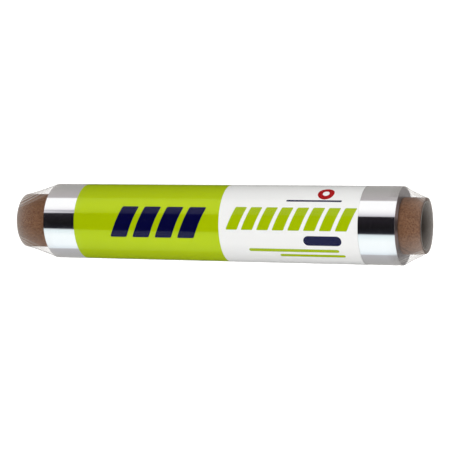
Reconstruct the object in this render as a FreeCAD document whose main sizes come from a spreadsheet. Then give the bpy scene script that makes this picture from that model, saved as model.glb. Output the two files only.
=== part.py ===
import FreeCAD, Part
import math
import os
import Sketcher

# Catering roll of aluminium foil in its clear wrap, standing on one end of its core.
# Millimetres, +Z up along the roll's axis, origin at the centre of the foot.
# The foot is the wrap's ring under the lower rim of the core.

SIZES = (
    ("foil_width", 290, "width of the foil, which is the length of the winding"),
    ("winding", 8.4, "thickness of the wound foil, from the tube to the last turn"),
    ("drift_step", 0.15, "sideways drift of the foil that the band list counts in"),
    ("bore_radius", 19, "inside of the cardboard tube"),
    ("core_wall", 2.5, "thickness of the tube's wall"),
    ("core_below", 28.3, "how far the tube stands out under the foil"),
    ("core_above", 16.7, "how far it stands out over the foil"),
    ("core_edge", 0.4, "broken edge on both rims of the tube"),
    ("bare_below", 27.1, "foil left bare under the label"),
    ("bare_above", 28.4, "foil left bare over the label"),
    ("paper", 0.09, "thickness of the label's paper"),
    ("label_gap", 0.1, "air between the last turn and the label"),
    ("glue", 0.02, "glue between the two ends of the label"),
    ("overlap", 12, "how far the outer end lies over the inner end"),
    ("climb", 1.5, "stretch in which the outer end climbs onto the inner end"),
    ("film", 0.1, "thickness of the clear wrap"),
    ("film_gap", 0.05, "air between the wrap and what it covers"),
    ("film_sag", 0.5, "how far the free wrap dips between foil and rim"),
    ("film_lip", 10, "how far the wrap reaches into each mouth of the tube"),
)

# Sideways place of each band of turns, in drift steps, from the core outwards.
# The foil keeps its width, so both ends of a band move the same way.
BAND_DRIFT = (1, 2.5, 0.5, 2, 1, 1.8, 0.7, 0)

# Heights and radii that several pieces share, as expressions on the sheet.
CORE_BOTTOM = "sizes.film"
FOIL_BOTTOM = f"({CORE_BOTTOM} + sizes.core_below)"
FOIL_TOP = f"({FOIL_BOTTOM} + sizes.foil_width)"
CORE_TOP = f"({FOIL_TOP} + sizes.core_above)"
CORE_RADIUS = "(sizes.bore_radius + sizes.core_wall)"
FOIL_RADIUS = f"({CORE_RADIUS} + sizes.winding)"
LABEL_INSIDE = f"({FOIL_RADIUS} + sizes.label_gap)"
LABEL_OUTSIDE = f"({LABEL_INSIDE} + 2 * sizes.paper + sizes.glue)"

# The label's seam lies at the back, on +Y.
SEAM_ANGLE = math.radians(90)


def make_sheet(doc):
    sheet = doc.addObject("Spreadsheet::Sheet", "sizes")
    for row, (name, number, meaning) in enumerate(SIZES, 1):
        sheet.set(f"A{row}", name)
        sheet.set(f"B{row}", str(number))
        sheet.setAlias(f"B{row}", name)
        sheet.set(f"C{row}", meaning)
    doc.recompute()


def value(thing, expression):
    """What an expression on the sheet gives now, as a plain number."""
    return float(thing.evalExpression(expression))


def new_sketch(body, role):
    """An empty sketch on one of the body's own origin planes."""
    sketch = body.newObject("Sketcher::SketchObject", f"{body.Name}_outline")
    plane = next(item for item in body.Origin.OriginFeatures if item.Role == role)
    sketch.AttachmentSupport = (plane, [""])
    sketch.MapMode = "FlatFace"
    return sketch


def bind(sketch, kind, elements, expression, name):
    """Adds a dimension that follows an expression on the sheet."""
    number = value(sketch, expression)
    index = sketch.addConstraint(Sketcher.Constraint(kind, *elements, number))
    sketch.renameConstraint(index, name)
    sketch.setExpression(f"Constraints.{name}", expression)


def turned_body(doc, label, points):
    """A body turned about Z from a closed outline of (radius, height) expressions."""
    body = doc.addObject("PartDesign::Body", label)
    sketch = new_sketch(body, "XZ_Plane")
    places = [FreeCAD.Vector(value(sketch, r), value(sketch, z), 0) for r, z in points]
    count = len(points)
    for i in range(count):
        sketch.addGeometry(Part.LineSegment(places[i], places[(i + 1) % count]))
    for i in range(count):
        sketch.addConstraint(Sketcher.Constraint("Coincident", i, 2, (i + 1) % count, 1))
    for i, (radius, height) in enumerate(points):
        bind(sketch, "DistanceX", (-1, 1, i, 1), radius, f"radius_{i}")
        bind(sketch, "DistanceY", (-1, 1, i, 1), height, f"height_{i}")
    solid = body.newObject("PartDesign::Revolution", f"{label}_turned")
    solid.Profile = sketch
    solid.ReferenceAxis = (sketch, ["V_Axis"])
    solid.Angle = 360
    return body


def core_tube(doc):
    """Cardboard tube, open right through, with broken edges on both rims."""
    outside, inside, edge = CORE_RADIUS, "sizes.bore_radius", "sizes.core_edge"
    return turned_body(doc, "core_tube", [
        (f"{inside} + {edge}", CORE_BOTTOM),
        (f"{outside} - {edge}", CORE_BOTTOM),
        (outside, f"{CORE_BOTTOM} + {edge}"),
        (outside, f"{CORE_TOP} - {edge}"),
        (f"{outside} - {edge}", CORE_TOP),
        (f"{inside} + {edge}", CORE_TOP),
        (inside, f"{CORE_TOP} - {edge}"),
        (inside, f"{CORE_BOTTOM} + {edge}"),
    ])


def foil_winding(doc):
    """All the turns as one solid, with end faces stepped where the foil drifted."""
    bands = len(BAND_DRIFT)
    band = f"sizes.winding / {bands}"
    lower, upper = [], []
    for i, steps in enumerate(BAND_DRIFT):
        for border in (i, i + 1):
            radius = f"{CORE_RADIUS} + {border} * {band}"
            lower.append((radius, f"{FOIL_BOTTOM} + {steps} * sizes.drift_step"))
            upper.append((radius, f"{FOIL_TOP} + {steps} * sizes.drift_step"))
    return turned_body(doc, "foil_winding", lower + upper[::-1])


def label_outline(body):
    """The label's section: a wrap, a climb and an overlap, all one sheet of paper."""
    sketch = new_sketch(body, "XY_Plane")
    wrap = (LABEL_INSIDE, f"{LABEL_INSIDE} + sizes.paper")
    lap = (f"{LABEL_OUTSIDE} - sizes.paper", LABEL_OUTSIDE)
    climb = math.asin(value(sketch, f"sizes.climb / {LABEL_INSIDE}"))
    overlap = math.asin(value(sketch, f"sizes.overlap / {LABEL_INSIDE}"))
    ends = (SEAM_ANGLE + 2 * math.pi - climb, SEAM_ANGLE + overlap)
    for arc, radius in enumerate(wrap + lap):
        circle = Part.Circle()
        circle.Radius = value(sketch, radius)
        sketch.addGeometry(Part.ArcOfCircle(circle, SEAM_ANGLE, ends[arc // 2]))
        sketch.addConstraint(Sketcher.Constraint("Coincident", arc, 3, -1, 1))
        sketch.addConstraint(Sketcher.Constraint("PointOnObject", arc, 1, -2))
        bind(sketch, "Radius", (arc,), radius, f"radius_{arc}")
    wrap_inside, wrap_outside, lap_inside, lap_outside = range(4)
    for arc in (wrap_inside, wrap_outside):
        bind(sketch, "DistanceX", (-1, 1, arc, 2), "sizes.climb", f"climb_{arc}")
    for arc in (lap_inside, lap_outside):
        bind(sketch, "DistanceX", (arc, 2, -1, 1), "sizes.overlap", f"overlap_{arc}")
    start, end = 1, 2
    joins = (
        ((wrap_inside, start), (wrap_outside, start)),
        ((wrap_inside, end), (lap_inside, start)),
        ((wrap_outside, end), (lap_outside, start)),
        ((lap_inside, end), (lap_outside, end)),
    )
    for first, second in joins:
        edge = Part.LineSegment(sketch.getPoint(*first), sketch.getPoint(*second))
        line = sketch.addGeometry(edge)
        sketch.addConstraint(Sketcher.Constraint("Coincident", line, start, *first))
        sketch.addConstraint(Sketcher.Constraint("Coincident", line, end, *second))
    return sketch


def label_band(doc):
    """Printed paper, wrapped once round the foil and glued to itself at the back."""
    body = doc.addObject("PartDesign::Body", "label_band")
    solid = body.newObject("PartDesign::Pad", "label_band_height")
    solid.Profile = label_outline(body)
    solid.setExpression("Length", "sizes.foil_width - sizes.bare_below - sizes.bare_above")
    body.setExpression("Placement.Base.z", f"{FOIL_BOTTOM} + sizes.bare_below")
    return body


def film_side(offset):
    """One side of the wrap's outline, from the lower lip to the upper one, offset outwards."""
    lip_radius = f"sizes.bore_radius - sizes.film_gap - {offset}"
    rim_inside = "sizes.bore_radius + sizes.core_edge - sizes.film_gap"
    rim_outside = f"{CORE_RADIUS} - sizes.core_edge + sizes.film_gap"
    tube_radius = f"{CORE_RADIUS} + sizes.film_gap + {offset}"
    wrap_radius = f"{LABEL_OUTSIDE} + sizes.film_gap + {offset}"
    neck_radius = f"({tube_radius} + {wrap_radius}) / 2 - sizes.film_sag"
    low_edge = f"{CORE_BOTTOM} + sizes.core_edge"
    high_edge = f"{CORE_TOP} - sizes.core_edge"
    return [
        (lip_radius, f"{CORE_BOTTOM} + sizes.film_lip"),
        (lip_radius, low_edge),
        (rim_inside, f"{CORE_BOTTOM} - {offset}"),
        (rim_outside, f"{CORE_BOTTOM} - {offset}"),
        (tube_radius, low_edge),
        (neck_radius, f"({low_edge} + {FOIL_BOTTOM}) / 2"),
        (wrap_radius, FOIL_BOTTOM),
        (wrap_radius, FOIL_TOP),
        (neck_radius, f"({FOIL_TOP} + {high_edge}) / 2"),
        (tube_radius, high_edge),
        (rim_outside, f"{CORE_TOP} + {offset}"),
        (rim_inside, f"{CORE_TOP} + {offset}"),
        (lip_radius, high_edge),
        (lip_radius, f"{CORE_TOP} - sizes.film_lip"),
    ]


def shrink_film(doc):
    """Clear wrap over foil and label, drawn in to both rims of the core and into its mouths."""
    return turned_body(doc, "shrink_film", film_side("0") + film_side("sizes.film")[::-1])


def check(doc, bodies):
    """Stops if anything in the document failed or a piece isn't one sound solid."""
    for item in doc.Objects:
        if {"Invalid", "Error"} & set(item.State):
            raise RuntimeError(f"{item.Name} failed: {item.State}")
    for body in bodies:
        if body.Shape.isNull() or not body.Shape.isValid() or len(body.Shape.Solids) != 1:
            raise RuntimeError(f"{body.Label} is not one sound solid")


def main():
    doc = FreeCAD.newDocument("foil_roll")
    make_sheet(doc)
    bodies = [make(doc) for make in (core_tube, foil_winding, label_band, shrink_film)]
    doc.recompute()
    check(doc, bodies)
    os.makedirs("parts", exist_ok=True)
    for body in bodies:
        body.Shape.exportStep(f"parts/{body.Label}.step")


main()
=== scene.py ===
import math

import bmesh
import bpy
from mathutils import Matrix, Vector, noise


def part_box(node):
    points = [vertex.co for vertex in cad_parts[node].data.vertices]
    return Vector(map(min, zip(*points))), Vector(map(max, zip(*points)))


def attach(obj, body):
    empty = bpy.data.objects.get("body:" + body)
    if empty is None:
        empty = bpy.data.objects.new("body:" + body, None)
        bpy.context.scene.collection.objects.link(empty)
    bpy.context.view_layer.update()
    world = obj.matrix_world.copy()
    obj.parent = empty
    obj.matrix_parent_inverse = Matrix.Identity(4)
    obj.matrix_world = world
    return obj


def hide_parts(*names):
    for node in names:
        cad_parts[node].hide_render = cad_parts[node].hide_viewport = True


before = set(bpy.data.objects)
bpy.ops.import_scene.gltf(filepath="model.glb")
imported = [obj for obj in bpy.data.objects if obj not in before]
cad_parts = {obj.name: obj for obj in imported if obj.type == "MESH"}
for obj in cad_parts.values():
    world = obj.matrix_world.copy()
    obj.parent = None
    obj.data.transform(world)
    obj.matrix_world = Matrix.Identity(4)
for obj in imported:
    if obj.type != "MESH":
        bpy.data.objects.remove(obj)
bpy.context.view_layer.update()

# A standing catering roll of aluminium foil: core, winding, printed label and shrink film.
# Angles round the roll are counted from the camera's side (-Y) towards -X, which the photograph
# shows as up. Lengths are metres, and the photograph's right is +Z.

MM = 0.001

# Sizes taken from the frame.
CORE_LOW, CORE_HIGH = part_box("core_tube")
FOIL_LOW, FOIL_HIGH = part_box("foil_winding")
LABEL_LOW, LABEL_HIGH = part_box("label_band")
_, FILM_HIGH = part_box("shrink_film")
BORE_R, CORE_SWELL = 19.0 * MM, 0.2 * MM
CORE_R, FOIL_R, FILM_R = CORE_HIGH[0] + CORE_SWELL, FOIL_HIGH[0], FILM_HIGH[0]
CORE_BOTTOM, CORE_TOP = CORE_LOW[2], CORE_HIGH[2]
FOIL_BOTTOM, FOIL_WIDTH = FOIL_LOW[2], 290 * MM
FOIL_TOP = FOIL_BOTTOM + FOIL_WIDTH
LABEL_BOTTOM, LABEL_TOP = LABEL_LOW[2], LABEL_HIGH[2]

# Faces round the roll.
SEGMENTS, FILM_SEGMENTS = 240, 360


def place(radius, angle, height):
    """A point at an angle round the roll, counted from the camera's side towards -X."""
    return Vector((-radius * math.sin(angle), -radius * math.cos(angle), height))


def angle_of(point):
    return math.atan2(-point.x, -point.y)


def turned(angle):
    """An angle brought between minus and plus half a turn."""
    return (angle + math.pi) % (2 * math.pi) - math.pi


def hump(distance, width):
    return math.exp(-((distance / width) ** 2))


def slope(angle, start, end):
    """From nought at one angle to one at another, both in degrees."""
    return slope_of(math.degrees(angle), start, end)


def slope_of(number, start, end):
    """From nought at one number to one at another."""
    return min(max((number - start) / (end - start), 0), 1)


def span(start, end, count):
    """Evenly spaced numbers from start to just before end."""
    return [start + (end - start) * i / count for i in range(count)]


def corner(centre, radius, start, end, count):
    """(radius, height) points on an arc, both ends included, by angles in degrees."""
    points = []
    for i in range(count + 1):
        turn = math.radians(start + (end - start) * i / count)
        points.append((centre[0] + radius * math.cos(turn), centre[1] + radius * math.sin(turn)))
    return points


def spun(profile, closed, segments=SEGMENTS):
    """A mesh turned once round the roll's axis from (radius, height) points."""
    bm = bmesh.new()
    verts = [bm.verts.new(place(r, 0, z)) for r, z in profile]
    pairs = zip(verts, verts[1:] + verts[:1] if closed else verts[1:])
    edges = [bm.edges.new(pair) for pair in pairs]
    bmesh.ops.spin(bm, geom=verts + edges, cent=(0, 0, 0), axis=(0, 0, 1),
                   angle=2 * math.pi, steps=segments, use_merge=True)
    bmesh.ops.recalc_face_normals(bm, faces=bm.faces)
    return bm


def finished(bm, name, node, slot, *materials):
    """The piece made of a bmesh, smooth, riding on the roll in place of its CAD node."""
    mesh = bpy.data.meshes.new(name)
    bm.to_mesh(mesh)
    bm.free()
    mesh.shade_smooth()
    mesh.set_sharp_from_angle(angle=math.radians(35))
    for material in materials:
        mesh.materials.append(material)
    piece = bpy.data.objects.new(name, mesh)
    bpy.context.scene.collection.objects.link(piece)
    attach(piece, "root")
    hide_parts(node)
    return piece


def paint(code):
    """A colour written as sRGB hex, as the linear values that a shader takes."""
    parts = [int(code[i:i + 2], 16) / 255 for i in (1, 3, 5)]
    linear = [p / 12.92 if p <= 0.04045 else ((p + 0.055) / 1.055) ** 2.4 for p in parts]
    return (*linear, 1.0)


def add(tree, kind, inputs=None, **settings):
    """One node, with its own settings and with values or links for its sockets."""
    made = tree.nodes.new(kind)
    for name, setting in settings.items():
        setattr(made, name, setting)
    for socket, given in (inputs or {}).items():
        if isinstance(given, bpy.types.NodeSocket):
            tree.links.new(given, made.inputs[socket])
        else:
            made.inputs[socket].default_value = given
    return made


def ramp(tree, factor, stops):
    """A colour ramp through (place, colour) stops."""
    made = add(tree, "ShaderNodeValToRGB", {"Fac": factor})
    first, last = made.color_ramp.elements[0], made.color_ramp.elements[1]
    first.position, first.color = stops[0]
    last.position, last.color = stops[-1]
    for position, colour in stops[1:-1]:
        made.color_ramp.elements.new(position).color = colour
    return made.outputs["Color"]


def mixed(tree, factor, under, over):
    """One colour over another by a factor."""
    mix = add(tree, "ShaderNodeMix", {"Factor": factor, 6: under, 7: over}, data_type="RGBA")
    return mix.outputs[2]


def new_material(name):
    material = bpy.data.materials.new(name)
    material.use_nodes = True
    material.node_tree.nodes.clear()
    return material, material.node_tree


def surface(tree, shader):
    add(tree, "ShaderNodeOutputMaterial", {"Surface": shader})


def kraft_board():
    """Recycled kraft board, spiral wound: dull brown with short fibres and a soft mottle."""
    material, tree = new_material("spiral_wound_kraft_board")
    place_on = add(tree, "ShaderNodeTexCoord").outputs["Object"]
    fibre = add(tree, "ShaderNodeTexNoise", {"Vector": place_on, "Scale": 2200, "Detail": 2})
    mottle = add(tree, "ShaderNodeTexNoise", {"Vector": place_on, "Scale": 700, "Detail": 4})
    both = add(tree, "ShaderNodeMath", {0: fibre.outputs["Fac"], 1: mottle.outputs["Fac"]},
               operation="ADD")
    half = add(tree, "ShaderNodeMath", {0: both.outputs[0], 1: 0.5}, operation="MULTIPLY")
    dappled = ramp(tree, half.outputs[0], [
        (0.4, paint("#583a28")), (0.49, paint("#724d35")), (0.6, paint("#846147")),
    ])
    inner = add(tree, "ShaderNodeAttribute", attribute_name="inner").outputs["Fac"]
    plies = mixed(tree, inner, dappled, paint("#53473c"))
    # Darker along the real seams between the plies, and painted shade where the board meets the foil.
    seam_and_contact_shade = add(tree, "ShaderNodeAttribute", attribute_name="seam_and_contact_shade").outputs["Fac"]
    colour = mixed(tree, seam_and_contact_shade, plies, paint("#3b281d"))
    bump = add(tree, "ShaderNodeBump", {
        "Height": fibre.outputs["Fac"], "Strength": 0.35, "Distance": 0.05 * MM,
    })
    board = add(tree, "ShaderNodeBsdfPrincipled", {
        "Base Color": colour, "Roughness": 0.88, "Normal": bump.outputs[0],
    })
    surface(tree, board.outputs[0])
    return material


def rolled_foil():
    """Bright side of rolled aluminium foil: a mirror with faint lines round the roll."""
    material, tree = new_material("rolled_bright_aluminium_foil")
    place_on = add(tree, "ShaderNodeTexCoord").outputs["Object"]
    stretch = add(tree, "ShaderNodeMapping", {"Vector": place_on, "Scale": (40, 40, 1800)})
    lines = add(tree, "ShaderNodeTexNoise", {"Vector": stretch.outputs[0], "Scale": 1, "Detail": 3})
    rough = add(tree, "ShaderNodeMapRange", {
        "Value": lines.outputs["Fac"], "To Min": 0.05, "To Max": 0.11,
    })
    bump = add(tree, "ShaderNodeBump", {
        "Height": lines.outputs["Fac"], "Strength": 0.12, "Distance": 0.01 * MM,
    })
    foil = add(tree, "ShaderNodeBsdfPrincipled", {
        "Base Color": paint("#f2f2f3"), "Metallic": 1.0,
        "Roughness": rough.outputs[0], "Normal": bump.outputs[0],
    })
    surface(tree, foil.outputs[0])
    return material


def foil_edges():
    """Cut edges of a thousand turns: dull grey metal in fine rings, with a painted sheen brightest in
    four fans.
    """
    material, tree = new_material("slit_foil_edges")
    place_on = add(tree, "ShaderNodeTexCoord").outputs["Object"]
    flat = add(tree, "ShaderNodeMapping", {"Vector": place_on, "Scale": (1, 1, 0)})
    radius = add(tree, "ShaderNodeVectorMath", {0: flat.outputs[0]}, operation="LENGTH")
    rings = add(tree, "ShaderNodeTexNoise", {"W": radius.outputs["Value"], "Scale": 4200, "Detail": 2},
                noise_dimensions="1D")
    colour = ramp(tree, rings.outputs["Fac"], [
        (0.3, paint("#a69da2")), (0.55, paint("#d0c7cc")), (0.75, paint("#f3ebf0")),
    ])
    # How far round a point lies from the front or the back: 0 there and 1 at either side.
    apart = add(tree, "ShaderNodeSeparateXYZ", {"Vector": place_on}).outputs["X"]
    across = add(tree, "ShaderNodeMath", {0: apart, 1: radius.outputs["Value"]}, operation="DIVIDE")
    aside = add(tree, "ShaderNodeMath", {0: across.outputs[0]}, operation="ABSOLUTE").outputs[0]
    # Painted reflection: darkest towards the front and back, brightest in four fans between, multiplied
    # into the rings.
    painted_sheen = ramp(tree, aside, [
        (0.0, paint("#8c898a")), (0.12, paint("#9a9798")), (0.26, (1, 1, 1, 1)),
        (0.5, paint("#f2f2f2")), (0.74, paint("#c0c0c0")), (1.0, paint("#c0c0c0")),
    ])
    colour = add(tree, "ShaderNodeMix", {"Factor": 1.0, 6: colour, 7: painted_sheen},
                 data_type="RGBA", blend_type="MULTIPLY").outputs[2]
    edges = add(tree, "ShaderNodeBsdfPrincipled", {
        "Base Color": colour, "Metallic": 1.0, "Roughness": 0.42,
    })
    surface(tree, edges.outputs[0])
    return material


def coated_label():
    """Coated label paper, offset printed: a glossy green field and a plain white one."""
    material, tree = new_material("offset_printed_coated_paper")
    wrap = add(tree, "ShaderNodeUVMap", uv_map="wrap").outputs["UV"]
    ends = add(tree, "ShaderNodeSeparateXYZ", {"Vector": wrap})
    white_side = add(tree, "ShaderNodeMath", {0: ends.outputs["Y"], 1: GREEN_END / MM},
                     operation="GREATER_THAN").outputs[0]
    lean = add(tree, "ShaderNodeMath", {0: ends.outputs["X"], 1: -LEAN, 2: ends.outputs["Y"]},
               operation="MULTIPLY_ADD")
    leaning = add(tree, "ShaderNodeCombineXYZ", {"X": ends.outputs["X"], "Y": lean.outputs[0]})
    colour = mixed(tree, white_side, paint("#b5cc00"), paint("#eeeeed"))
    for shape in SLANTED:
        colour = printed(tree, leaning.outputs[0], colour, *shape)
    for shape in STRAIGHT:
        colour = printed(tree, wrap, colour, *shape)
    place_on = add(tree, "ShaderNodeTexCoord").outputs["Object"]
    pulp = add(tree, "ShaderNodeTexNoise", {"Vector": place_on, "Scale": 700, "Detail": 3})
    bump = add(tree, "ShaderNodeBump", {
        "Height": pulp.outputs["Fac"], "Strength": 0.05, "Distance": 0.01 * MM,
    })
    # Painted shade: the colour darkens towards black where the label turns away from the view, a little
    # more on the white field.
    turned_off = add(tree, "ShaderNodeLayerWeight", {"Blend": 0.5}).outputs["Facing"]
    most = add(tree, "ShaderNodeMapRange", {"Value": white_side, "To Min": 0.28, "To Max": 0.35})
    painted_limb_shade = add(tree, "ShaderNodeMapRange", {
        "Value": turned_off, "From Min": 0.2, "From Max": 0.8, "To Max": most.outputs[0],
    }).outputs[0]
    colour = mixed(tree, painted_limb_shade, colour, (0, 0, 0, 1))
    gloss = add(tree, "ShaderNodeMapRange", {"Value": white_side, "To Min": 0.22, "To Max": 0.0})
    paper = add(tree, "ShaderNodeBsdfPrincipled", {
        "Base Color": colour, "Roughness": 0.14, "Metallic": gloss.outputs[0],
        "Specular IOR Level": 0.0, "Specular Tint": (0, 0, 0, 1), "Normal": bump.outputs[0],
    })
    surface(tree, paper.outputs[0])
    return material


# The print, in millimetres on the label laid flat: across is the angle times the radius,
# along is the height over the foot. Each shape has a centre, half sizes, an end radius and an ink,
# and the slanted ones lean along the roll.
GREEN_END = 179.1 * MM
NAVY, LEAF, RED = "#05063c", "#9fb600", "#a50d12"
LEAN = 0.42
SLANTED = [((0, 99 + 19 * i), (12.5, 7), 1.2, NAVY) for i in range(4)]
SLANTED += [((4, 191.5 + 12.5 * i), (9, 4.6), 0.8, LEAF) for i in range(8)]
STRAIGHT = [
    ((-13, 262), (4, 15), 4, NAVY),
    ((-22, 238), (1.5, 36), 1.5, LEAF),
    ((-27.5, 252), (1.5, 26), 1.5, LEAF),
    ((27, 262), (6.5, 6.5), 6.5, RED),
    ((27, 262), (2.6, 2.6), 2.6, "#f4f4f3"),
    ((19, 254), (0.8, 22), 0.8, NAVY),
]


def printed(tree, wrap, under, centre, size, round_end, ink):
    """A round-ended bar of ink over the colour under it."""
    off = add(tree, "ShaderNodeVectorMath", {0: wrap, 1: (*centre, 0)}, operation="SUBTRACT")
    side = add(tree, "ShaderNodeVectorMath", {0: off.outputs[0]}, operation="ABSOLUTE")
    inner = (size[0] - round_end, size[1] - round_end, 0)
    past = add(tree, "ShaderNodeVectorMath", {0: side.outputs[0], 1: inner}, operation="SUBTRACT")
    out = add(tree, "ShaderNodeVectorMath", {0: past.outputs[0], 1: (0, 0, 0)}, operation="MAXIMUM")
    far = add(tree, "ShaderNodeVectorMath", {0: out.outputs[0]}, operation="LENGTH")
    inside = add(tree, "ShaderNodeMath", {0: far.outputs["Value"], 1: round_end}, operation="LESS_THAN")
    return mixed(tree, inside.outputs[0], under, paint(ink))


# How much the film mirrors face on, and between which values of Fresnel it comes to mirror fully.
FILM_GLOSS, EDGE_START, EDGE_FULL = 0.045, 0.4, 0.52


def clear_film():
    """Polyolefin shrink film: clear and glossy, milky where it is drawn together."""
    material, tree = new_material("clear_shrink_film")
    haze = add(tree, "ShaderNodeAttribute", attribute_name="haze").outputs["Fac"]
    shine = add(tree, "ShaderNodeAttribute", attribute_name="shine").outputs["Fac"]
    back = add(tree, "ShaderNodeNewGeometry").outputs["Backfacing"]
    front = add(tree, "ShaderNodeMath", {0: 1.0, 1: back}, operation="SUBTRACT").outputs[0]
    milk = add(tree, "ShaderNodeMath", {0: haze, 1: front}, operation="MULTIPLY").outputs[0]
    # Painted shade: the see-through colour darkens at grazing angles and by the per-point shade below.
    painted_film_shade = add(tree, "ShaderNodeAttribute", attribute_name="painted_film_shade").outputs["Fac"]
    angle = add(tree, "ShaderNodeFresnel", {"IOR": 1.5}).outputs[0]
    grazing = add(tree, "ShaderNodeMapRange", {
        "Value": angle, "From Min": 0.2, "From Max": 0.5, "To Max": 0.4,
    }).outputs[0]
    dull = add(tree, "ShaderNodeMath", {0: 1.0, 1: shine}, operation="SUBTRACT").outputs[0]
    dull = add(tree, "ShaderNodeMath", {0: dull, 1: front}, operation="MULTIPLY").outputs[0]
    dim = add(tree, "ShaderNodeMath", {0: grazing, 1: dull}, operation="MULTIPLY").outputs[0]
    shade = add(tree, "ShaderNodeMath", {0: dim, 1: painted_film_shade}, operation="MAXIMUM").outputs[0]
    tone = mixed(tree, shade, (1, 1, 1, 1), paint("#8f8c8a"))
    clear = add(tree, "ShaderNodeBsdfTransparent", {"Color": tone}).outputs[0]
    milky = add(tree, "ShaderNodeBsdfDiffuse", {"Color": paint("#f0ebe6")}).outputs[0]
    body = add(tree, "ShaderNodeMixShader", {0: milk, 1: clear, 2: milky}).outputs[0]
    even = add(tree, "ShaderNodeMath", {0: angle, 1: FILM_GLOSS}, operation="MINIMUM").outputs[0]
    edge_on = add(tree, "ShaderNodeMapRange", {
        "Value": angle, "From Min": EDGE_START, "From Max": EDGE_FULL, "To Max": 0.95,
    }).outputs[0]
    more = add(tree, "ShaderNodeMath", {0: even, 1: edge_on}, operation="MAXIMUM").outputs[0]
    facing = add(tree, "ShaderNodeMath", {0: more, 1: front}, operation="MULTIPLY").outputs[0]
    mirror = add(tree, "ShaderNodeMath", {0: facing, 1: shine}, operation="MULTIPLY").outputs[0]
    gloss = add(tree, "ShaderNodeBsdfGlossy", {"Color": (1, 1, 1, 1), "Roughness": 0.06}).outputs[0]
    both = add(tree, "ShaderNodeMixShader", {0: mirror, 1: body, 2: gloss}).outputs[0]
    surface(tree, both)
    return material


# How much higher than the plain solid the upper rim stands, by the photograph.
RIM_PROUD = 0.6 * MM

# The core's rounded edges, its rows of faces on the stubs, and how deep its mouths are fine-meshed.
CORE_EDGE, CORE_ROW, MOUTH = 0.4 * MM, 0.5 * MM, 40 * MM

# The spiral seams of the core's outer and inner plies.
SEAM_PITCH, SEAM_START, SEAM_HEIGHT = 125 * MM, math.radians(-45), FOIL_TOP
SEAM_DEPTH, SEAM_WIDTH, INNER_SEAM_TURN = 0.2 * MM, 0.4 * MM, math.radians(150)

# The painted shade line where board and foil meet, and how uneven the board is.
CONTACT_SHADE, CONTACT_WIDTH = 0.45, 1.3 * MM
UNEVEN, UNEVEN_SCALE = 0.04 * MM, 90


def seam_distance(angle, height, start):
    """How far up or down a point lies from the nearest turn of a spiral seam."""
    turns = (height - SEAM_HEIGHT) / SEAM_PITCH + (angle - start) / (2 * math.pi)
    return ((turns + 0.5) % 1 - 0.5) * SEAM_PITCH


# A soft dent in the upper rim: where it is and how wide, how deep and how far down it reaches.
DENT_ANGLE, DENT_WIDTH = math.radians(-101), math.radians(24)
DENT_DEPTH, DENT_REACH = 0.85 * MM, 3.4 * MM


def dent(angle, from_rim):
    """How far the rim is pushed in at an angle and at a depth under its top."""
    return DENT_DEPTH * hump(turned(angle - DENT_ANGLE), DENT_WIDTH) * hump(from_rim, DENT_REACH)


def make_core(board):
    """The tube, with soft rims and the seams where the plies of board meet edge to edge."""
    edge, low, high = CORE_EDGE, CORE_BOTTOM, CORE_TOP + RIM_PROUD
    stub_low, stub_high = FOIL_BOTTOM + 2 * MM, FOIL_TOP - 2 * MM
    outside = span(low + edge, stub_low, round((stub_low - low) / CORE_ROW))
    outside += span(stub_low, stub_high, 6)
    outside += span(stub_high, high - edge, round((high - stub_high) / CORE_ROW))
    profile = corner((CORE_R - edge, low + edge), edge, 270, 360, 4)[:-1]
    profile += [(CORE_R, z) for z in outside]
    profile += corner((CORE_R - edge, high - edge), edge, 0, 90, 4)
    profile += corner((BORE_R + edge, high - edge), edge, 90, 180, 4)[:-1]
    inside = span(high - edge, high - MOUTH, 60) + span(high - MOUTH, low + MOUTH, 6)
    inside += span(low + MOUTH, low + edge, 60)
    profile += [(BORE_R, z) for z in inside]
    profile += corner((BORE_R + edge, low + edge), edge, 180, 270, 4)
    bm = spun(profile, closed=True)
    seam_and_contact_shade = bm.verts.layers.float.new("seam_and_contact_shade")
    inner = bm.verts.layers.float.new("inner")
    for vert in bm.verts:
        point = vert.co
        radius, angle = point.xy.length, angle_of(point)
        outer = radius > (CORE_R + BORE_R) / 2
        vert[inner] = slope_of(radius, BORE_R + edge, BORE_R)
        start = SEAM_START if outer else SEAM_START + INNER_SEAM_TURN
        vert[seam_and_contact_shade] = hump(seam_distance(angle, point.z, start), SEAM_WIDTH)
        depth = SEAM_DEPTH * vert[seam_and_contact_shade]
        if outer:
            # Painted shade: a thin dark line on the board where it meets the foil's ends.
            near_foil = min(abs(point.z - FOIL_BOTTOM), abs(point.z - FOIL_TOP))
            vert[seam_and_contact_shade] = max(vert[seam_and_contact_shade], CONTACT_SHADE * hump(near_foil, CONTACT_WIDTH))
        uneven = UNEVEN * noise.noise(point * UNEVEN_SCALE)
        radius += uneven - depth if outer else depth - uneven
        vert.co = place(radius - dent(angle, high - point.z), angle, point.z)
    return finished(bm, "cardboard_core", "core_tube", "kraft_board", board)


# Where the foil's loose end lies, how it slants over a metre, and the small step that it makes.
TAIL_ANGLE, TAIL_SKEW, TAIL_STEP = math.radians(15.8), math.radians(-26), 0.1 * MM

# How far each band of turns stands off the end faces, in millimetres, from the core outwards.
BAND_DRIFT = (0.15, 0.28, 0.1, 0.24, 0.15, 0.22, 0.1, 0.0)


def end_height(radius):
    """How far the turns at a radius stand off the end face: wandering bands and single turns."""
    share = (radius - CORE_R) / (FOIL_R - CORE_R)
    band = min(int(share * len(BAND_DRIFT)), len(BAND_DRIFT) - 1)
    single = 0.05 * noise.noise(Vector((radius / MM * 4.1, 3.7, 0)))
    return (BAND_DRIFT[band] + single) * MM


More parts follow.
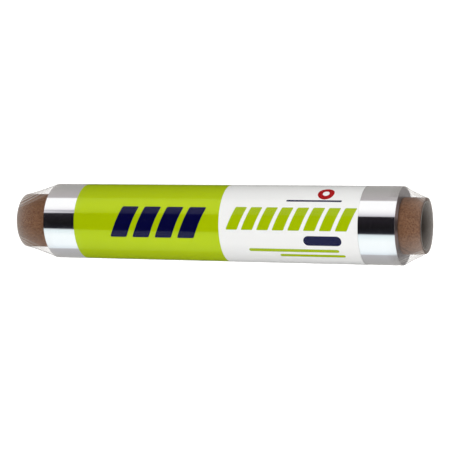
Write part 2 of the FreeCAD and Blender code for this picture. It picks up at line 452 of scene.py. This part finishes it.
def make_winding(foil, edges):
    """All the turns: a bright outside, stepped ends and the loose end smoothed down."""
    edge, step = 0.05 * MM, 0.12 * MM
    rings = span(CORE_R, FOIL_R - edge, 64)
    profile = [(r, FOIL_BOTTOM + end_height(r)) for r in rings]
    profile += corner((FOIL_R - edge, FOIL_BOTTOM + edge), edge, 270, 360, 2)
    profile += [(FOIL_R, FOIL_BOTTOM + step)]
    profile += [(FOIL_R, z) for z in span(FOIL_BOTTOM, FOIL_TOP, 96)[1:]]
    profile += [(FOIL_R, FOIL_TOP - step)]
    profile += corner((FOIL_R - edge, FOIL_TOP - edge), edge, 0, 90, 2)
    profile += [(r, FOIL_TOP + end_height(r)) for r in reversed(rings)]
    bm = spun(profile, closed=True)
    for vert in bm.verts:
        point = vert.co
        radius, angle = point.xy.length, angle_of(point)
        if radius < FOIL_R - 0.1 * MM:
            continue
        tail = TAIL_ANGLE + TAIL_SKEW * max(point.z - LABEL_BOTTOM, 0)
        since_tail = ((angle - tail) / (2 * math.pi)) % 1
        wave = 0.012 * MM * noise.noise(Vector((angle * 3, point.z * 30, 1)))
        radius += wave - TAIL_STEP * since_tail
        vert.co = place(radius, angle, point.z)
    for face in bm.faces:
        face.material_index = int(abs(face.normal.z) > 0.5)
    return finished(bm, "foil_roll", "foil_winding", "foil", foil, edges)


# The label's paper and glue, its gap to the foil, its lap and the climb over its own start.
PAPER, GLUE, LABEL_GAP = 0.09 * MM, 0.02 * MM, 0.1 * MM
LABEL_R = FOIL_R + LABEL_GAP
LAP, CLIMB = 12 * MM, 1.5 * MM


def make_label(printed_paper):
    """One sheet round the foil: it starts at the back, runs round and ends over its own start."""
    bm = bmesh.new()
    uv = bm.loops.layers.uv.new("wrap")
    turn, lap, climb = 2 * math.pi, LAP / LABEL_R, CLIMB / LABEL_R
    angles = span(0, turn - climb, SEGMENTS) + span(turn - climb, turn, 4)
    angles += span(turn, turn + lap, 24) + [turn + lap]
    start = []
    for angle in angles:
        rise = min(max((angle - turn + climb) / climb, 0), 1)
        radius = LABEL_R + PAPER / 2 + rise * (PAPER + GLUE)
        start.append(bm.verts.new(place(radius, math.pi - angle, LABEL_BOTTOM)))
    edges = [bm.edges.new(pair) for pair in zip(start, start[1:])]
    rows = 24
    for row in range(rows):
        made = bmesh.ops.extrude_edge_only(bm, edges=edges)["geom"]
        edges = [item for item in made if isinstance(item, bmesh.types.BMEdge)]
        verts = [item for item in made if isinstance(item, bmesh.types.BMVert)]
        bmesh.ops.translate(bm, verts=verts, vec=(0, 0, (LABEL_TOP - LABEL_BOTTOM) / rows))
        edges = [e for e in edges if all(abs(v.co.z - verts[0].co.z) < 1e-7 for v in e.verts)]
    bmesh.ops.recalc_face_normals(bm, faces=bm.faces)
    outward = sum(face.normal.dot(face.calc_center_median().xy.to_3d()) for face in bm.faces)
    if outward < 0:
        bmesh.ops.reverse_faces(bm, faces=bm.faces)
    for face in bm.faces:
        middle = angle_of(face.calc_center_median())
        for loop in face.loops:
            near = middle + turned(angle_of(loop.vert.co) - middle)
            loop[uv].uv = (near * LABEL_R / MM, loop.vert.co.z / MM)
    bmesh.ops.solidify(bm, geom=bm.faces, thickness=PAPER)
    return finished(bm, "printed_label", "label_band", "label_paper", printed_paper)


# The film's thickness, its distance from the foil and from the board, and its sag on the cones.
FILM, CLING, AIR, SAG = 0.08 * MM, 0.38 * MM, 0.15 * MM, 0.5 * MM

# The film's bead round a rim: its height, how far it stands off the lower and the upper end of the
# board, and how square it is. Its lip reaches into the mouth.
RIM, BEAD_LOW, BEAD_HIGH, BEAD_POWER = 0.5 * MM, 0.1 * MM, 0.4 * MM, 0.3
LIP, LIP_ROWS = 10 * MM, 12

# Tension pleats: which end, the angles where one leaves the foil and reaches the rim, strength.
PLEATS = [
    ("low", 48, 29, 0.35), ("low", 64, 34, 0.7), ("low", 77, 44, 0.9), ("low", 88, 53, 0.9),
    ("low", 99, 62, 0.8), ("low", -58, -38, 0.3), ("low", -85, -44, 0.4), ("low", -98, -56, 0.3),
    ("high", 81, 56, 0.4), ("high", 89, 63, 0.7), ("high", 97, 70, 0.7), ("high", -57, -58, 0.3),
    ("high", -63, -64, 0.6), ("high", -68, -76, 0.6), ("high", -75, -85, 0.5),
]
PLEATS += [
    ("low", 123 + 23 * i + 7 * (i % 3), 90 + 23 * i + 5 * (i % 2), 0.15 + 0.1 * (2 * i % 3))
    for i in range(6)
]
PLEATS += [
    ("high", 118 + 19 * i + 6 * (i % 3), 92 + 19 * i - 4 * (i % 2), 0.15 + 0.1 * (2 * i % 3))
    for i in range(8)
]
PLEAT_WIDTH, SHADE_OFFSET, SHADE_WIDTH = math.radians(1.6), math.radians(5), math.radians(2.2)

# One crease, drawn only as a painted shade line, crosses the cone at the upper end: its angles
# there, and the stretch that it takes.
CREASE_AT_FOIL, CREASE_AT_RIM, CREASE_MIDDLE, CREASE_REACH = -22, -84, 0.68, 0.14
CREASE_SHADE = 2.4

# The pleats end a little past the foil's edge. They and the film's waves rise by these millimetres.
PLEATS_END, RIDGE_RISE, WAVE_RISE = 1.25, 0.06, 0.05

# How far from a rim the milkiness that it brings has faded.
MILK_REACH = 6 * MM


def film_end(sign, core_end, foil_end):
    """(radius, height) points of one end of the film, from its lip to the foil's edge."""
    lip_r, tube_r = BORE_R - AIR, CORE_R + AIR
    middle, reach = (lip_r + tube_r) / 2, (tube_r - lip_r) / 2
    base = core_end + sign * (RIM - (BEAD_LOW if sign > 0 else BEAD_HIGH))
    points = [(lip_r, z) for z in span(core_end + sign * LIP, base, LIP_ROWS)]
    bead_rows, cone_rows = 10, 26
    for i in range(bead_rows + 1):
        turn = math.pi * i / bead_rows
        across = math.copysign(abs(math.cos(turn)) ** BEAD_POWER, -math.cos(turn))
        points.append((middle + reach * across, base - sign * RIM * math.sin(turn) ** BEAD_POWER))
    start, end = Vector((tube_r, base)), Vector((FOIL_R + CLING, foil_end))
    for i in range(1, cone_rows + 1):
        share = i / cone_rows
        r, z = start.lerp(end, share)
        points.append((r - 4 * SAG * share * (1 - share), z))
    points.append((FOIL_R + CLING, foil_end + sign * 0.3 * MM))
    return points


def make_film(clear):
    """The film: drawn in to both rims, tight round foil and label, its ends inside the mouths."""
    low = film_end(1, CORE_BOTTOM, FOIL_BOTTOM)
    high = film_end(-1, CORE_TOP + RIM_PROUD, FOIL_TOP)
    body = []
    for z in span(FOIL_BOTTOM, FOIL_TOP, 36)[1:]:
        over = min(max((min(z - LABEL_BOTTOM, LABEL_TOP - z) + 2 * MM) / (2 * MM), 0), 1)
        body.append((FOIL_R + CLING + over * (FILM_R - FOIL_R - CLING), z))
    bm = spun(low + body + high[::-1], False, FILM_SEGMENTS)
    haze = bm.verts.layers.float.new("haze")
    # Painted shade in the film's see-through colour, kept per point.
    painted_film_shade = bm.verts.layers.float.new("painted_film_shade")
    shine = bm.verts.layers.float.new("shine")
    for vert in bm.verts:
        shape_film(vert, haze, painted_film_shade, shine)
    outward = sum(f.normal.dot(f.calc_center_median().xy.to_3d()) * f.calc_area() for f in bm.faces)
    if outward < 0:
        bmesh.ops.reverse_faces(bm, faces=bm.faces)
    bmesh.ops.solidify(bm, geom=bm.faces, thickness=FILM)
    return finished(bm, "shrink_wrap", "shrink_film", "clear_film", clear)


def pleats_at(end, angle, share, along):
    """How strongly pleats stand out at a point, and how much painted shade lies beside them."""
    ridge = shade = 0
    for which, at_foil, at_rim, strength in PLEATS:
        if which == end and share < PLEATS_END:
            crest = math.radians(at_rim + (at_foil - at_rim) * along)
            ridge += strength * hump(turned(angle - crest), PLEAT_WIDTH)
            shade += strength * hump(turned(angle - crest - SHADE_OFFSET), SHADE_WIDTH)
    return ridge, shade


def milkiness(radius, angle, from_rim, low_end, past_core):
    """How milky the film is between its pleats: most near the rims and towards its outline."""
    near_rim = math.exp(-max(from_rim, 0) / MILK_REACH)
    up, down = slope(angle, 29, 80), slope(-angle, 12, 72)
    far_side = (1 - math.cos(angle)) / 2
    if radius < BORE_R:
        return 0.32 * near_rim + 0.1 * abs(math.sin(angle))
    if radius < CORE_R:
        return 0.05 + 0.45 * far_side
    if low_end:
        return 0.3 * near_rim + 0.16 * up + 0.16 * down
    milk = (0.03 + 0.3 * far_side) * near_rim + 0.08 * up
    return milk + (0.18 * down * (1 - past_core) + 0.1 * past_core)


def shape_film(vert, haze, painted_film_shade, shine):
    """The pleats' relief on the cones, and how milky, how darkened by painted shade and how shiny the
    film is at a point.
    """
    point = vert.co
    radius, angle, z = point.xy.length, angle_of(point), point.z
    low_end = z < (FOIL_BOTTOM + FOIL_TOP) / 2
    end = "low" if low_end else "high"
    cone = FOIL_BOTTOM - CORE_BOTTOM if low_end else CORE_TOP - FOIL_TOP
    from_rim = z - CORE_BOTTOM if low_end else CORE_TOP + RIM_PROUD - z
    share = from_rim / cone
    fine = noise.noise(Vector((math.cos(angle) * 9, math.sin(angle) * 9, 5 if low_end else 11)))
    ridge, shade = pleats_at(end, angle, share, -share if radius < BORE_R else share)
    if not low_end and radius > CORE_R:
        crest = math.radians(CREASE_AT_RIM + (CREASE_AT_FOIL - CREASE_AT_RIM) * share)
        crease = hump(angle - crest, PLEAT_WIDTH / 2) * hump(share - CREASE_MIDDLE, CREASE_REACH)
        shade += CREASE_SHADE * crease
    on_cone = math.sin(math.pi * min(max(share, 0), 1))
    if radius > CORE_R:
        radius += (RIDGE_RISE * ridge + WAVE_RISE * fine) * MM * on_cone
        past_core = slope_of(abs(math.sin(angle)) * radius, CORE_R - MM / 2, CORE_R + MM / 2)
    else:
        past_core = 0
    pushed = 0 if low_end else dent(angle, from_rim)
    vert.co = place(radius - pushed, angle, z)
    milk = milkiness(radius, angle, from_rim, low_end, past_core)
    off_cone = min(max((1.3 - share) / 0.3, 0), 1)
    amount = 0.6 + 0.4 * on_cone
    if radius < CORE_R:
        amount = 0.3 * math.exp(-max(from_rim, 0) / MM)
    # Painted shade: darker at the rims, beside the pleats, along the crease and towards the film's
    # outline.
    at_rim = hump(max(from_rim, 0), 0.5 * MM)
    painted_outline_shade = 0.05 * slope(abs(angle), 78, 92) if low_end else 0.13 * past_core
    dark = 0.06 if low_end else 0.12
    vert[haze] = 0.001 + (milk + 0.6 * ridge * amount) * off_cone
    vert[painted_film_shade] = min((dark * shade * amount + 0.1 * at_rim + painted_outline_shade) * off_cone, 1)
    on_label = slope_of(min(z - LABEL_BOTTOM, LABEL_TOP - z), -MM, MM)
    vert[shine] = 1 - max(0.8 * off_cone, 0.55 * on_label)


# How brightly the paper shines of itself where it is seen or mirrored.
FLOOR_LIFT = 0.84


def studio_floor():
    """White paper that stays white to the camera and keeps a soft shadow."""
    material, tree = new_material("white_background_paper")
    rays = add(tree, "ShaderNodeLightPath")
    seen = add(tree, "ShaderNodeMath", {
        0: rays.outputs["Is Camera Ray"], 1: rays.outputs["Is Glossy Ray"],
    }, operation="MAXIMUM")
    seen = add(tree, "ShaderNodeMath", {
        0: seen.outputs[0], 1: rays.outputs["Is Transmission Ray"],
    }, operation="MAXIMUM")
    lift = add(tree, "ShaderNodeMath", {0: seen.outputs[0], 1: FLOOR_LIFT}, operation="MULTIPLY")
    paper = add(tree, "ShaderNodeBsdfPrincipled", {
        "Base Color": paint("#c8c8c6"), "Roughness": 0.9, "Specular IOR Level": 0.0,
        "Emission Color": (1, 1, 1, 1), "Emission Strength": lift.outputs[0],
    })
    surface(tree, paper.outputs[0])
    return material


# What the foil mirrors round the roll, by the angle at which it stands, painted as a reflection on a
# glowing card that only reflections see: softboxes beside the camera, the dark gap that the camera
# looks out of, and the grey room behind.
PAINTED_REFLECTION_STOPS = (
    (180, "#a19f9c"), (125, "#a19f9c"), (95, "#aca8a7"), (77.5, "#b3aeaf"), (75.5, "#ffffff"),
    (47, "#ffffff"), (40, "#f6f5f6"), (33, "#e6e5e8"), (26, "#c8c6cc"), (24.6, "#2c292f"),
    (12, "#1e1b20"), (-6, "#161517"), (-17, "#18171c"), (-26.1, "#2a2a31"), (-27.6, "#c9d1d5"),
    (-32, "#e4f0f2"), (-50, "#f8ffff"), (-80, "#f4fbfd"), (-95, "#dfe9ee"), (-98, "#b2b1b4"),
    (-120, "#a9a8a8"), (-180, "#a19f9c"),
)
# Where the angles meet, how bright the card is, and how far from the axis its dim middle ends.
PAINTED_REFLECTION_CENTRE, PAINTED_REFLECTION_LEVEL = 0.66 * FOIL_R, 1.12
NEAR_CARD, NEAR_BLEND, NEAR_LEVEL = 44 * MM, 8 * MM, 0.12


def painted_reflection_glow():
    """A painted reflection of the studio, laid out by angle on a glowing card under the roll."""
    material, tree = new_material("painted_reflection_card")
    place_on = add(tree, "ShaderNodeTexCoord").outputs["Object"]
    centred = add(tree, "ShaderNodeMapping", {
        "Vector": place_on, "Location": (0, PAINTED_REFLECTION_CENTRE, 0),
    })
    turned_to = add(tree, "ShaderNodeMapping", {
        "Vector": centred.outputs[0], "Rotation": (0, 0, math.radians(90)),
    })
    round_it = add(tree, "ShaderNodeTexGradient", {"Vector": turned_to.outputs[0]},
                   gradient_type="RADIAL")
    colour = ramp(tree, round_it.outputs["Fac"], [
        (0.5 - angle / 360, paint(code)) for angle, code in PAINTED_REFLECTION_STOPS
    ])
    far = add(tree, "ShaderNodeVectorMath", {0: place_on}, operation="LENGTH")
    level = add(tree, "ShaderNodeMapRange", {
        "Value": far.outputs["Value"], "From Min": NEAR_CARD, "From Max": NEAR_CARD + NEAR_BLEND,
        "To Min": NEAR_LEVEL, "To Max": PAINTED_REFLECTION_LEVEL,
    })
    glow = add(tree, "ShaderNodeEmission", {"Color": colour, "Strength": level.outputs[0]})
    surface(tree, glow.outputs[0])
    return material


def disc(name, radius, height, material):
    bm = bmesh.new()
    bmesh.ops.create_circle(bm, cap_ends=True, segments=96, radius=radius,
                            matrix=Matrix.Translation((0, 0, height)))
    mesh = bpy.data.meshes.new(name)
    bm.to_mesh(mesh)
    bm.free()
    mesh.materials.append(material)
    flat = bpy.data.objects.new(name, mesh)
    bpy.context.scene.collection.objects.link(flat)
    return flat


def make_stage():
    disc("floor", 6, 0, studio_floor())
    # The painted reflection card glows under the roll and is seen only by mirror-like rays.
    card = disc("painted_reflection", 5, 0.2 * MM, painted_reflection_glow())
    card.visible_camera = card.visible_diffuse = False
    card.visible_transmission = card.visible_shadow = False


def softbox(name, angle, elevation, distance, size, watts):
    """A square area lamp that looks at the middle of the roll."""
    lamp = bpy.data.lights.new(name, "AREA")
    lamp.size = size
    lamp.energy = watts
    middle = Vector((0, 0, (FOIL_BOTTOM + FOIL_TOP) / 2))
    flat = distance * math.cos(math.radians(elevation))
    spot = place(flat, math.radians(angle), middle.z + distance * math.sin(math.radians(elevation)))
    box = bpy.data.objects.new(name, lamp)
    box.location = spot
    box.rotation_euler = (middle - spot).to_track_quat("-Z", "Y").to_euler()
    box.visible_glossy = False
    bpy.context.scene.collection.objects.link(box)


# The room's level as it lights things, and as shiny things mirror it.
ROOM_LIGHT, ROOM_MIRRORED = 0.26, 0.46


def make_light():
    softbox("upper_softbox", 58, 12, 1.6, 1.0, 19.4)
    softbox("lower_softbox", -58, 12, 1.6, 1.0, 19.4)
    softbox("back_softbox", 180, 18, 1.8, 1.0, 12)
    world = bpy.data.worlds.new("studio")
    bpy.context.scene.world = world
    world.use_nodes = True
    tree = world.node_tree
    tree.nodes.clear()
    rays = add(tree, "ShaderNodeLightPath")
    seen = add(tree, "ShaderNodeMath", {
        0: rays.outputs["Is Camera Ray"], 1: rays.outputs["Is Transmission Ray"],
    }, operation="MAXIMUM")
    lit = add(tree, "ShaderNodeMapRange", {
        "Value": seen.outputs[0], "To Min": ROOM_LIGHT, "To Max": 1.0,
    })
    level = add(tree, "ShaderNodeMath", {
        0: rays.outputs["Is Glossy Ray"], 1: ROOM_MIRRORED - ROOM_LIGHT, 2: lit.outputs[0],
    }, operation="MULTIPLY_ADD")
    sky = add(tree, "ShaderNodeBackground", {"Color": (1, 1, 1, 1), "Strength": level.outputs[0]})
    add(tree, "ShaderNodeOutputWorld", {"Surface": sky.outputs[0]})


# The camera, as fitted to the photograph's outlines of foil, core and label.
CAMERA_DISTANCE = 1233.2 * MM
CAMERA_RISE, CAMERA_TILT, CAMERA_ROLL = 20.471, 0.07, 0.879
PHOTO_SIDE, FOCAL_PIXELS, SENSOR = 450, 1561, 36.0


def swung(one, other, angle):
    """Two directions at right angles, both swung by an angle from the first to the second."""
    cos, sin = math.cos(angle), math.sin(angle)
    return one * cos + other * sin, other * cos - one * sin


def make_camera():
    """It looks at the middle of the foil from above the foot's plane, turned on its side."""
    lens = bpy.data.cameras.new("camera")
    lens.sensor_width = SENSOR
    lens.lens = SENSOR * FOCAL_PIXELS / PHOTO_SIDE
    rise, tilt, roll = map(math.radians, (CAMERA_RISE, CAMERA_TILT, CAMERA_ROLL))
    middle = Vector((0, 0, (FOIL_BOTTOM + FOIL_TOP) / 2))
    back = Vector((0, -math.cos(rise), math.sin(rise)))
    right = Vector((0, math.sin(rise), math.cos(rise)))
    up = Vector((-1, 0, 0))
    centre = middle + back * CAMERA_DISTANCE
    back, up = swung(back, up, tilt)
    right, up = swung(right, up, roll)
    turn = Matrix((right, up, back)).transposed().to_4x4()
    camera = bpy.data.objects.new("camera", lens)
    camera.matrix_world = Matrix.Translation(centre) @ turn
    bpy.context.scene.collection.objects.link(camera)
    bpy.context.scene.camera = camera


def main():
    bpy.context.scene.view_settings.view_transform = "Standard"
    make_camera()
    make_stage()
    make_light()
    make_core(kraft_board())
    make_winding(rolled_foil(), foil_edges())
    make_label(coated_label())
    make_film(clear_film())


main()
